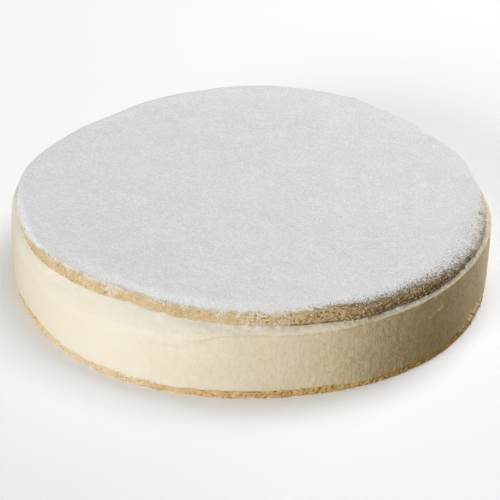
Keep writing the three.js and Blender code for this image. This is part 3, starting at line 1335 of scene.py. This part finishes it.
@dataclass
class SpongeDisc:
    """The sponge disc on top: a torn side full of pores, and a rounded rim that the sugar covers."""

    form: CakeForm
    edge: SugarEdge
    finish: SpongeFinish = SpongeFinish(
        crumb=(0.675, 0.53, 0.325, 1.0), crust=(0.57, 0.42, 0.215, 1.0), pore_and_shade=(0.2, 0.135, 0.06, 1.0),
    )
    side_rows: int = 14
    rim_rows: int = 14
    flat_rows: int = 9
    foot_margin: float = 8.0 * MM
    undercut: float = 1.0 * MM
    even_undercut: float = 0.25
    sunk: float = 0.5 * MM
    crumb: float = 0.3 * MM
    tears: tuple[Rough, ...] = (
        Rough(0.9, 7.0 * MM, 4.0 * MM),
        Rough(0.8, 2.4 * MM, 1.8 * MM, 0.4),
        Rough(0.45, 1.1 * MM, 0.9 * MM, 0.8),
    )
    holes: Pits = Pits(2.4 * MM, 0.5)
    hole_depth: float = 1.5
    pinholes: Pits = Pits(1.2 * MM, 0.6, 0.5)
    pinhole_depth: float = 0.6
    bare_run: float = 1.6 * MM
    covered_relief: float = 0.08
    # Strength of the painted shade in the holes, more of it at the coarse right and at the front.
    roughness: float = 0.45
    coarse_hole_shade: float = 0.3
    front_hole_shade: Nick = Nick(-86.0, 10.0, 0.45)
    hole_shade: float = 0.9
    pinhole_shade: float = 0.55
    # Painted shade over the coarse right, less of it where the side is bare, and painted shade in the
    # crevice at the foot of the front right side.
    coarse_light: float = 0.48
    painted_crevice_shade: Nick = Nick(-76.0, 9.0, 0.7)
    crevice_shade_run: tuple[float, float] = (0.6 * MM, 1.8 * MM)
    fade: float = 1.9 * MM
    least_dust: float = 0.03
    sugar_spills: tuple[Nick, ...] = (
        Nick(-176.0, 12.0, 0.85),
        Nick(-140.0, 14.0, 0.14),
        Nick(-125.0, 1.8, 0.32),
        Nick(-97.0, 1.6, 0.25),
        Nick(-86.0, 7.0, 0.26),
        Nick(-27.0, 10.0, 0.38),
        Nick(-5.0, 14.0, 0.45),
    )
    patches: Rough = Rough(1.0, 4.0 * MM, 3.0 * MM, 1.7)
    dust_patch: float = 0.1
    clots: Pits = Pits(2.0 * MM, 0.55, 2.6)
    clot_patch: float = 0.4
    clinging: float = 0.7
    clinging_spread: tuple[Nick, ...] = (
        Nick(-87.0, 8.0, 0.85), Nick(-118.0, 14.0, 0.35), Nick(-40.0, 10.0, 0.4),
    )
    shed_bare: float = 1.05
    coarse_shed: float = 0.8
    golden: Nick = Nick(-74.0, 8.5, 0.5)
    seed: int = 41

    @property
    def low(self) -> float:
        """Height of the disc's underside, a little sunk in the cream."""
        return self.form.cream_top - self.sunk

    def rows(self) -> tuple[Rows, Array]:
        """Rows run out under the disc, up its side, over the rim and in under the sugar.

        The side is undercut by the fourth power of the way down, most at the coarse right.

        Returns:
            The rows, and the climb of each point.
        """
        angle = columns()
        form, rim_run = self.form, self.edge.rim_run
        reach = form.disc_reach(angle)
        share = np.linspace(0.0, 1.0, self.side_rows)[:, None]
        side_height = self.low + (form.disc_top - form.rim_round - self.low) * share + 0.0 * angle
        uneven = self.even_undercut + (1.0 - self.even_undercut) * self.edge.coarse.at(angle)
        side_radius = reach - self.undercut * uneven * (1.0 - share) ** 4
        turn = np.linspace(0.0, 1.0, self.rim_rows + 1)[1:, None]
        rim_radius, rim_height = form.rim_point(angle, turn, 0.0 * angle)
        onward = np.linspace(0.0, 1.0, self.flat_rows + 1)[1:, None]
        innermost = form.disc_radius - form.rim_round - form.tilt_margin
        flat_radius = rim_radius[-1] + (innermost - rim_radius[-1]) * onward
        flat_height = rim_height[-1] + (form.disc_top - rim_height[-1]) * ease(onward, 0.0, 1.0)
        radius = np.concatenate([[reach - self.foot_margin], side_radius, rim_radius, flat_radius])
        height = np.concatenate([[self.low + 0.0 * angle], side_height, rim_height, flat_height])
        side_climb = side_height - side_height[-1]
        rim_climb = turn * rim_run + 0.0 * angle
        flat_climb = rim_run + rim_radius[-1] - flat_radius
        climb = np.concatenate([[0.0 * angle], side_climb, rim_climb, flat_climb])
        return Rows(angle, radius, height, height + (reach - radius)), climb

    def skin(self) -> Skin:
        """Turns the rows, tears the bare side into crumb and marks what the sugar leaves open.

        The dust falls off below the sugar's edge by exp(distance / fade) to what lasts on the side.

        Returns:
            The skin, with pores and painted shade, dust, shed sugar and warmth marked.
        """
        grain = Grain(self.seed)
        rows, climb = self.rows()
        angle, around, along = rows.angle, rows.around, rows.along
        skin = Skin.turned(rows, self.low, self.form.disc_top)
        holes = self.holes.at(grain, around, along)
        pinholes = self.pinholes.at(grain, around, along)
        sunken = self.hole_depth * holes + self.pinhole_depth * pinholes
        inward = climb - self.edge.climb(angle)
        bare = 1.0 - ease(inward, -self.bare_run, 0.0)
        seen = skin.between(1, len(climb) - 1) * (self.covered_relief + (1.0 - self.covered_relief) * bare)
        skin.push(self.crumb * (layered(self.tears, grain, around, along) - sunken) * seen)
        patchy = self.patches.at(grain, around, along)
        coarse = self.edge.coarse.at(angle)
        lasting = self.least_dust + summed(self.sugar_spills, angle)
        reached = self.edge.dust(angle, inward)
        dust = lasting + (reached - lasting) * np.exp(np.minimum(inward, 0.0) / self.fade)
        # Strength of the painted shade in the holes.
        rough = self.roughness + self.coarse_hole_shade * coarse + self.front_hole_shade.at(angle)
        pits = rough * (self.hole_shade * holes**2 + self.pinhole_shade * pinholes) * bare
        # Painted shade in the crevice at the foot of the side.
        pits = pits + self.painted_crevice_shade.at(angle) * (1.0 - ease(rows.height - self.low, *self.crevice_shade_run))
        clots = self.clots.at(grain, around, along) + self.clot_patch * patchy
        clinging = self.clinging * summed(self.clinging_spread, angle) * clots * bare
        skin.marks = {
            Mark.PORE_AND_SHADE: np.clip(pits + coarse * (1.0 - self.coarse_light * bare), 0.0, 1.0),
            Mark.DUST: np.clip(dust + self.dust_patch * patchy + clinging, 0.0, 1.0),
            Mark.SHED: bare * (self.shed_bare - bare) * (1.0 - self.coarse_shed * coarse),
            Mark.WARM: self.golden.at(around),
        }
        return skin

    def make(self, skin: Skin) -> None:
        """Makes and dresses the disc from its skin.

        Args:
            skin: The disc's skin.
        """
        piece = skin.to_piece("sponge_disc")
        dress(piece, self.finish.material("tan_sponge"))
        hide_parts("top_sponge")


@dataclass
class SugarCoat:
    """The coat of icing sugar: a granular sheet over the disc that thins out down its rim."""

    form: CakeForm
    edge: SugarEdge
    finish: SugarFinish = SugarFinish()
    cells: int = 280
    rim_rows: int = 10
    depth: float = 0.8 * MM
    edge_depth: float = -0.05 * MM
    back_edge_depth: float = 0.75 * MM
    taper: float = 26.0 * MM
    left_taper: float = 14.0 * MM
    dip: float = 0.3 * MM
    dip_run: float = 1.0 * MM
    edge_grain: float = 0.3
    least_skirt: float = 0.06
    buried: float = 0.6 * MM
    grains: tuple[Rough, ...] = (
        Rough(0.2 * MM, 38.0 * MM, 38.0 * MM, 100.0),
        Rough(0.1 * MM, 11.0 * MM, 11.0 * MM, 300.0),
        Rough(0.11 * MM, 2.6 * MM, 2.6 * MM, 500.0),
        Rough(0.088 * MM, 1.4 * MM, 1.4 * MM, 700.0),
    )
    front_angle: float = -60.0
    seed: int = 53

    def thickness(self, angle: Array, inward: Array, grains: Array) -> Array:
        """Height over the sponge: full in the middle and at the back, just under it at the front edge.

        The fall to the edge is a square: nothing at the taper's inner end and steepest at the edge.

        Args:
            angle: Angles round the cake, in radians.
            inward: Distance in from the sugar's edge.
            grains: Relief of the full coat.

        Returns:
            Height of the sugar's surface over the sponge.
        """
        taper = self.taper + (self.left_taper - self.taper) * self.form.wiped.at(angle)
        full = 1.0 - (1.0 - np.clip(inward / taper, 0.0, 1.0)) ** 2
        edge = self.back_edge_depth + (self.edge_depth - self.back_edge_depth) * self.edge.front.at(angle)
        under = edge - self.dip * ease(-inward, 0.0, self.dip_run)
        grainy = self.edge_grain + (1.0 - self.edge_grain) * full
        return under + (self.depth - edge) * full + grains * grainy

    def relief(self, x: Array, y: Array) -> Array:
        """Two sizes of slow swells and two of grains, by place on the flattened sheet."""
        grain = Grain(self.seed)
        return sum(layer.on_flat(grain, x, y) for layer in self.grains)

    def grid(self) -> tuple[Array, Array]:
        """Radius share and angle on a square grid bent into a disc.

        Each ring of the square becomes a circle: the larger of the two grid values is the radius, and
        the ratio of the other to it, times 45 degrees, is the turn from that value's axis.

        Returns:
            Radius share between 0 and 1, and angle, of every grid point.
        """
        line = np.linspace(-1.0, 1.0, self.cells + 1)
        a, b = np.meshgrid(line, line)
        sideways = np.abs(a) > np.abs(b)
        larger = np.where(sideways, a, b)
        smaller = np.where(sideways, b, a)
        ratio = np.divide(smaller, larger, out=np.zeros_like(a), where=larger != 0.0)
        turn = np.where(sideways, 0.25 * math.pi * ratio, 0.5 * math.pi - 0.25 * math.pi * ratio)
        return np.abs(larger), np.where(larger < 0.0, turn + math.pi, turn)

    def sheet(self) -> tuple[Array, Array, Array]:
        """The sheet over the disc, which follows the disc's outline and the lift of its rim.

        The radius goes from a circle to the outline by the fourth power of the way out.

        Returns:
            Points, angle and distance in from the sugar's edge, in the grid's order.
        """
        form = self.form
        share, angle = self.grid()
        outline = form.disc_reach(angle) - form.rim_round
        mean = form.disc_radius - form.rim_round
        radius = share * (mean + share**4 * (outline - mean))
        x, y = radius * np.cos(angle), radius * np.sin(angle)
        lift = form.rim_tilt.at(angle) * ease(radius, mean - form.tilt_margin, outline)
        lift = lift + form.back_lift.at(angle) * ease(radius, mean - form.back_margin, outline)
        inward = outline - radius + self.edge.rim_run - self.edge.climb(angle)
        height = form.disc_top + lift + self.thickness(angle, inward, self.relief(x, y))
        return np.stack([x, y, height], axis=-1).reshape(-1, 3), angle.ravel(), inward.ravel()

    def skirt(self, around: Array) -> tuple[Array, Array]:
        """Rings down the rim, then one tucked under the sugar's edge and one back below the sheet.

        Args:
            around: Angle of each point of the sheet's border.

        Returns:
            The rings, and the distance in from the sugar's edge of each point.
        """
        form, rim_run = self.form, self.edge.rim_run
        climb = self.edge.climb(around)
        lowest = np.minimum(climb / rim_run, 1.0 - self.least_skirt)
        down = np.linspace(0.0, 1.0, self.rim_rows + 1)[1:, None]
        turns = 1.0 - (1.0 - lowest) * down
        flat = form.disc_reach(around) - form.rim_round + (1.0 - turns) * rim_run
        grains = self.relief(flat * np.cos(around), flat * np.sin(around))
        inward = turns * rim_run - climb
        clearance = self.thickness(around, inward, grains)
        level = 0.0 * around
        turns = np.concatenate([turns, [lowest], [level + 1.0]])
        clearance = np.concatenate([clearance, [level - self.buried], [level - self.buried]])
        radius, height = form.rim_point(around, turns, clearance)
        rings = np.stack([radius * np.cos(around), radius * np.sin(around), height], axis=-1)
        return rings, np.concatenate([inward, np.full((2, len(around)), FAR_INSIDE)])

    def make(self) -> None:
        """Makes and dresses the coat: the sheet, the rings down the rim, and a hidden underside."""
        points, angle, inward = self.sheet()
        n = self.cells
        number = np.arange((n + 1) ** 2).reshape(n + 1, n + 1)
        border = np.concatenate([number[0, :n], number[:n, n], number[n, n:0:-1], number[n:0:-1, 0]])
        around = angle[border]
        rings, ring_inward = self.skirt(around)
        count = len(points) + ring_inward.size
        ring_number = np.arange(len(points), count).reshape(ring_inward.shape)
        pole = [[0.0, 0.0, self.form.disc_top - self.buried]]
        points = np.concatenate([points, rings.reshape(-1, 3), pole])
        inward = np.concatenate([inward, ring_inward.ravel(), [FAR_INSIDE]])
        angle = np.concatenate([angle, np.tile(around, len(rings)), [0.0]])
        quads = np.stack([number[:-1, :-1], number[:-1, 1:], number[1:, 1:], number[1:, :-1]], axis=-1)
        skirt = ring_quads(np.concatenate([[border], ring_number]), False)
        faces = (quads.reshape(-1, 4), skirt, ring_fan(ring_number[-1], count, False))
        piece = make_piece("icing_sugar", points, faces, {
            Mark.DUST: self.edge.dust(angle, inward),
            # Painted shade of the sponge under the sugar at the coarse right.
            Mark.PORE_AND_SHADE: self.edge.coarse.at(angle),
            Mark.AROUND: np.radians(turn_from(angle, self.front_angle)) * self.form.disc_radius,
            Mark.INWARD: inward,
        })
        dress(piece, self.finish.material("icing_sugar"))
        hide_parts("sugar_coat")


def pick_places(skin: Skin, weight: Array, count: int, draw: np.random.Generator) -> Picked:
    """Chooses points of a skin at random.

    Args:
        skin: The surface that carries the lumps.
        weight: How likely each of its points is.
        count: How many to choose.
        draw: Seeded source of random numbers.

    Returns:
        The chosen points and their normals.
    """
    chance = (weight / weight.sum()).ravel()
    chosen = draw.choice(chance.size, size=count, p=chance)
    return skin.rings.reshape(-1, 3)[chosen], skin.normals().reshape(-1, 3)[chosen]


@dataclass(frozen=True)
class Lumps:
    """Small loose lumps of one kind, each a squashed uneven ball of a few faces, most of them small."""

    smallest: float
    largest: float
    stand_off: float
    dust: float
    rarity: int = 3
    around: int = 6
    rings: int = 3
    squash: tuple[float, float] = (0.65, 1.25)
    dents: tuple[float, float] = (0.8, 1.15)

    def ball(self) -> tuple[Array, Array, Array]:
        """A unit ball of rings between two poles.

        Returns:
            Its points, its quads and its triangles.
        """
        turn = np.arange(self.around) * (FULL_TURN / self.around)
        tilt = (np.arange(self.rings) + 1.0)[:, None] * (math.pi / (self.rings + 1.0))
        level = (np.sin(tilt) * np.cos(turn), np.sin(tilt) * np.sin(turn), np.cos(tilt) + 0.0 * turn)
        poles = [[0.0, 0.0, 1.0], [0.0, 0.0, -1.0]]
        points = np.concatenate([np.stack(level, axis=-1).reshape(-1, 3), poles])
        top = self.rings * self.around
        number = np.arange(top).reshape(self.rings, self.around)
        caps = np.concatenate([ring_fan(number[0], top, True), ring_fan(number[-1], top + 1, False)])
        return points, ring_quads(number, False), caps

    def strew(self, name: str, picked: list[Picked], draw: np.random.Generator) -> bpy.types.Object:
        """Copies the ball to each picked place, turned, squashed and dented, and none below the floor.

        Args:
            name: Name of the new object.
            picked: Places and normals.
            draw: Seeded source of random numbers.

        Returns:
            The lumps, as one piece.
        """
        places, normals = (np.concatenate(group) for group in zip(*picked))
        count = len(places)
        sizes = self.smallest + (self.largest - self.smallest) * draw.random(count) ** self.rarity
        centres = places + normals * (self.stand_off * sizes)[:, None]
        centres[:, 2] = np.maximum(centres[:, 2], self.squash[1] * sizes)
        ball, quads, caps = self.ball()
        basis, _ = np.linalg.qr(draw.normal(size=(count, 3, 3)))
        basis = basis * np.sign(np.linalg.det(basis))[:, None, None]
        squash = draw.uniform(*self.squash, (count, 1, 3))
        dents = draw.uniform(*self.dents, (count, len(ball), 1))
        local = ball[None] * dents * squash * sizes[:, None, None]
        points = (np.einsum("nij,nkj->nki", basis, local) + centres[:, None, :]).reshape(-1, 3)
        points[:, 2] = np.maximum(points[:, 2], 0.0)
        offset = (np.arange(count) * len(ball))[:, None, None]
        faces = ((quads[None] + offset).reshape(-1, 4), (caps[None] + offset).reshape(-1, 3))
        marks = {Mark.DUST: np.full(len(points), self.dust), Mark.PORE_AND_SHADE: np.zeros(len(points))}
        return make_piece(name, points, faces, marks)


@dataclass
class LooseSugar:
    """Grains and clots of sugar that fell on the ledge and cling to the disc's side."""

    cream: Skin
    disc: Skin
    finish: SugarFinish = SugarFinish(grain=0.3 * MM, powder=0.15 * MM)
    grains: Lumps = Lumps(smallest=0.12 * MM, largest=0.4 * MM, stand_off=0.35, dust=1.0)
    ledge_count: int = 1200
    ledge_power: int = 2
    side_count: int = 1100
    seed: int = 67

    def make(self) -> None:
        """Strews the grains where the layers carry shed sugar."""
        draw = np.random.default_rng(self.seed)
        ledge = self.cream.marks[Mark.SHED] ** self.ledge_power
        picked = [
            pick_places(self.cream, ledge, self.ledge_count, draw),
            pick_places(self.disc, self.disc.marks[Mark.SHED], self.side_count, draw),
        ]
        piece = self.grains.strew("loose_sugar", picked, draw)
        dress(piece, self.finish.material("loose_sugar"))


@dataclass
class LooseCrumbs:
    """Sponge crumbs along the ledge, on the side of the disc and stuck to the foot of the base."""

    cream: Skin
    disc: Skin
    base: Skin
    finish: SpongeFinish = SpongeFinish(
        crumb=(0.72, 0.58, 0.37, 1.0), crust=(0.60, 0.45, 0.24, 1.0), pore_and_shade=(0.36, 0.24, 0.11, 1.0),
    )
    crumbs: Lumps = Lumps(smallest=0.2 * MM, largest=0.7 * MM, stand_off=0.2, dust=0.4)
    ledge_count: int = 30
    ledge_power: int = 4
    side_count: int = 160
    side_rings: tuple[int, int] = (2, 20)
    foot_count: int = 160
    foot_rings: tuple[int, int] = (2, 10)
    seed: int = 71

    def make(self) -> None:
        """Strews the crumbs close to the sponge that they fell from."""
        draw = np.random.default_rng(self.seed)
        ledge = self.cream.marks[Mark.SHED] ** self.ledge_power
        picked = [
            pick_places(self.cream, ledge, self.ledge_count, draw),
            pick_places(self.disc, self.disc.between(*self.side_rings), self.side_count, draw),
            pick_places(self.base, self.base.between(*self.foot_rings), self.foot_count, draw),
        ]
        piece = self.crumbs.strew("loose_crumbs", picked, draw)
        dress(piece, self.finish.material("crumb"))


@dataclass(frozen=True)
class SoftLight:
    """A square white soft box aimed at the cake."""

    name: str
    azimuth: float
    elevation: float
    distance: float
    side: float
    power: float

    def place(self, target: Vector) -> None:
        """Hangs the light at its azimuth and elevation, facing the target.

        Args:
            target: Place that the light faces.
        """
        light = bpy.data.lights.new(self.name, "AREA")
        light.size = self.side
        light.energy = self.power
        turn, rise = math.radians(self.azimuth), math.radians(self.elevation)
        away = Vector((math.cos(turn) * math.cos(rise), math.sin(turn) * math.cos(rise), math.sin(rise)))
        lamp = bpy.data.objects.new(self.name, light)
        lamp.location = target + away * self.distance
        lamp.rotation_euler = away.to_track_quat("Z", "Y").to_euler()
        bpy.context.scene.collection.objects.link(lamp)


@dataclass(frozen=True)
class Studio:
    """Pale floor, a large light at the front left, weak ones at the right and above, and the camera."""

    floor_side: float = 12.0
    floor_colour: Colour = (0.86, 0.87, 0.88, 1.0)
    floor_change: float = 1.02
    floor_cloud: float = 0.7
    floor_roughness: float = 0.8
    floor_glow: float = 0.2
    sky: Colour = (0.01, 0.01, 0.01, 1.0)
    bounce: Colour = (0.29, 0.187, 0.038, 1.0)
    horizon: float = 0.15
    lights: tuple[SoftLight, ...] = (
        SoftLight("key", -128.0, 15.0, 5.0, 2.5, 256.0),
        SoftLight("side", 40.0, 4.0, 1.6, 0.7, 16.5),
        SoftLight("top", 50.0, 63.0, 2.0, 1.2, 26.7),
    )
    elevation: float = 30.95
    distance: float = 1.15
    aim: tuple[float, float, float] = (-0.6 * MM, 0.0, 10.2 * MM)
    focal: float = 144.4
    sensor: float = 36.0
    roll: float = 1.09

    def lay_floor(self) -> None:
        """A flat sheet at the foot of the cake, which throws no coloured light back on it."""
        half = self.floor_side / 2.0
        corners = np.array([[-half, -half, 0.0], [half, -half, 0.0], [half, half, 0.0], [-half, half, 0.0]])
        floor = make_piece("floor", corners, (np.arange(4)[None],), {})
        recipe = Recipe.material("pale_floor")
        cloud = recipe.noise(recipe.places(), self.floor_cloud)
        paler = tuple(min(1.0, self.floor_change * part) for part in self.floor_colour)
        colour = recipe.blend(cloud, self.floor_colour, paler)
        floor.data.materials.append(recipe.finish({
            "Base Color": colour,
            "Roughness": self.floor_roughness,
            "Emission Color": colour,
            "Emission Strength": self.floor_glow,
        }))
        floor.visible_diffuse = False
        floor.visible_glossy = False
        floor.visible_shadow = False

    def light_room(self) -> None:
        """A dark sky, below the horizon the dim warm light that comes back off a table, and the lights."""
        world = bpy.data.worlds.new("room")
        bpy.context.scene.world = world
        recipe = Recipe(world)
        direction = recipe.node("ShaderNodeTexCoord", {}, {}, "Generated")
        upward = recipe.node("ShaderNodeSeparateXYZ", {}, {0: direction}, "Z")
        share = recipe.node("ShaderNodeMapRange", {}, {0: upward, 1: -self.horizon, 2: self.horizon})
        colour = recipe.blend(share, self.bounce, self.sky)
        surface = recipe.node("ShaderNodeBackground", {}, {"Color": colour})
        recipe.node("ShaderNodeOutputWorld", {}, {"Surface": surface})
        for light in self.lights:
            light.place(Vector(self.aim))

    def set_camera(self) -> None:
        """Stands the camera in front of and above the cake, tipped by its roll."""
        data = bpy.data.cameras.new("camera")
        data.lens = self.focal
        data.sensor_width = self.sensor
        rise, roll = math.radians(self.elevation), math.radians(self.roll)
        back = Vector((0.0, -math.cos(rise), math.sin(rise)))
        right = Vector((1.0, 0.0, 0.0))
        up = back.cross(right)
        tipped_right = math.cos(roll) * right + math.sin(roll) * up
        tipped_up = math.cos(roll) * up - math.sin(roll) * right
        camera = bpy.data.objects.new("camera", data)
        turned = Matrix((tipped_right, tipped_up, back)).transposed().to_4x4()
        camera.matrix_world = Matrix.Translation(Vector(self.aim) + back * self.distance) @ turned
        bpy.context.scene.collection.objects.link(camera)
        bpy.context.scene.camera = camera
        bpy.context.scene.view_settings.view_transform = "Standard"

    def set_up(self) -> None:
        """Lays the floor, hangs the lights and stands the camera."""
        self.lay_floor()
        self.light_room()
        self.set_camera()


def main() -> None:
    """Builds the layers from the base up, strews the loose pieces and sets up the studio."""
    logging.basicConfig(level=logging.INFO)
    form = CakeForm.from_frame()
    edge = SugarEdge(form)
    base, cream, disc = BaseSponge(form), RicottaCream(form), SpongeDisc(form, edge)
    base_skin, cream_skin, disc_skin = (layer.skin() for layer in (base, cream, disc))
    base.make(base_skin)
    cream.make(cream_skin)
    disc.make(disc_skin)
    SugarCoat(form, edge).make()
    LooseSugar(cream_skin, disc_skin).make()
    LooseCrumbs(cream_skin, disc_skin, base_skin).make()
    Studio().set_up()


if __name__ == "__main__":
    main()
